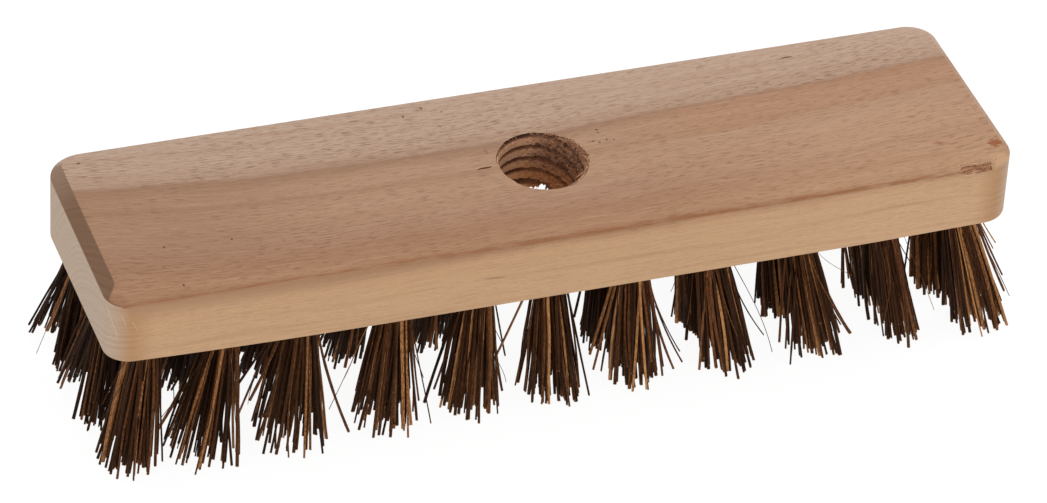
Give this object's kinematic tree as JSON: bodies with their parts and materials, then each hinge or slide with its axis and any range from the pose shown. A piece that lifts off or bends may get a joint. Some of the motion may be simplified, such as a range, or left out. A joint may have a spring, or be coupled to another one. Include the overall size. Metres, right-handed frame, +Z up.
{
  "type": "push broom head",
  "caption": "Wooden push broom head, a deck scrubber: a bevelled beech block with a slanted screw socket for a handle and rows of stiff plant-fibre tufts.",
  "frame": {"origin": "on the floor under the middle of the block, at the level of the bristle tips", "axes": "+X along the block's length, +Y to the back long side (the handle leans towards -Y), +Z up out of the handle socket"},
  "size_m": [0.235, 0.0626, 0.0545],
  "materials": {
    "beech": "raw planed beech with fine ray flecks, matte",
    "fibre": "stiff dark brown plant fibre, bassine, slightly glossy along each fibre",
    "wire": "drawn steel wire of the hidden staples"
  },
  "bodies": {
    "root": {"block": "beech", "tuft_front_01": "fibre", "tuft_front_02": "fibre", "tuft_front_03": "fibre", "tuft_front_04": "fibre", "tuft_front_05": "fibre", "tuft_front_06": "fibre", "tuft_front_07": "fibre", "tuft_front_08": "fibre", "tuft_front_09": "fibre", "tuft_front_10": "fibre", "tuft_front_11": "fibre", "tuft_middle_01": "fibre", "tuft_middle_02": "fibre", "tuft_middle_03": "fibre", "tuft_middle_04": "fibre", "tuft_middle_05": "fibre", "tuft_middle_07": "fibre", "tuft_middle_08": "fibre", "tuft_middle_09": "fibre", "tuft_middle_10": "fibre", "tuft_middle_11": "fibre", "tuft_back_01": "fibre", "tuft_back_02": "fibre", "tuft_back_03": "fibre", "tuft_back_04": "fibre", "tuft_back_05": "fibre", "tuft_back_06": "fibre", "tuft_back_07": "fibre", "tuft_back_08": "fibre", "tuft_back_09": "fibre", "tuft_back_10": "fibre", "tuft_back_11": "fibre"}
  },
  "joints": []
}
